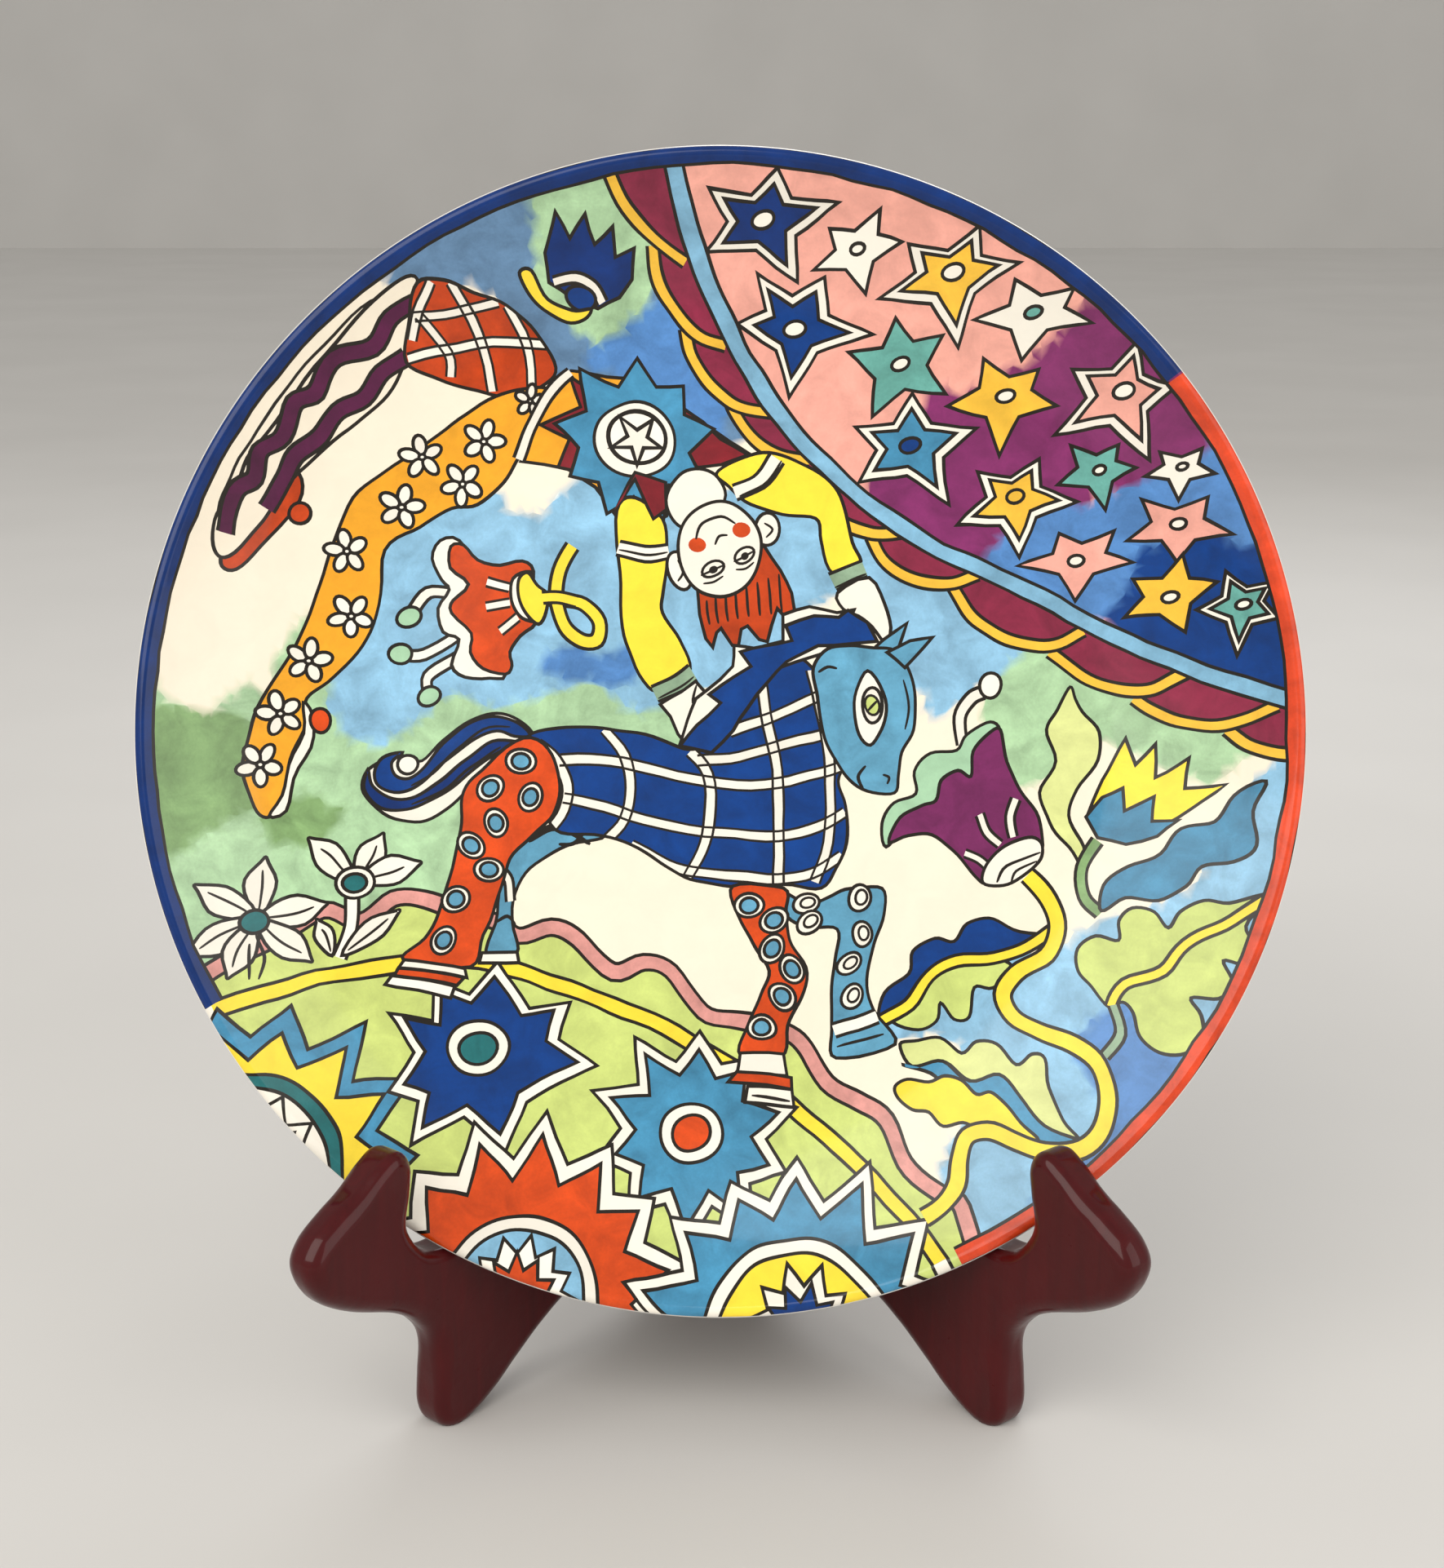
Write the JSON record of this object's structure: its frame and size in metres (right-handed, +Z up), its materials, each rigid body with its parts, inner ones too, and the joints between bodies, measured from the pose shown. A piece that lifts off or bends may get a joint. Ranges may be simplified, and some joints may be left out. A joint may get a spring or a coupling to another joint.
{
  "type": "decorative plate on a folding stand",
  "caption": "Round porcelain coupe plate with a painted face, leaning in a folding stand of two hooked lacquered boards joined by butt hinges.",
  "frame": {"origin": "on the table, under the centre of the standing set's box", "axes": "+Z up, -Y the way the painted face looks, +X to the right as seen from the front; the stand's plane of symmetry is x = 0"},
  "size_m": [0.254, 0.1037, 0.2744],
  "materials": {
    "porcelain": "glossy white glaze, bare matte foot ring",
    "painting": "many-coloured hand painting with dark outlines under a glossy clear glaze",
    "lacquered_wood": "dark cherry red gloss lacquer",
    "hinge_brass": "brushed brass",
    "screw_brass": "slotted brass heads"
  },
  "bodies": {
    "left_side": {"left_board": "lacquered_wood", "upper_left_leaf": "hinge_brass", "lower_left_leaf": "hinge_brass", "upper_hinge_pin": "hinge_brass", "lower_hinge_pin": "hinge_brass", "left_screws": "screw_brass"},
    "right_side": {"right_board": "lacquered_wood", "upper_right_leaf": "hinge_brass", "lower_right_leaf": "hinge_brass", "right_screws": "screw_brass"},
    "plate": {"plate_body": "porcelain", "painted_face": "painting"}
  },
  "joints": [
    {"name": "plate_lift", "type": "slide", "parent": "left_side", "child": "plate", "axis": [0, 0, 1], "range_m": [0, 0.2]},
    {"name": "stand_fold", "type": "hinge", "parent": "left_side", "child": "right_side", "pos_m": [0, 0.04544, 0.07], "axis": [0, 0, -1], "range_deg": [0, 79.5]}
  ],
  "couplings": [
    {"joint": "stand_fold", "follows": "plate_lift", "rad_per_m": 6.93}
  ]
}
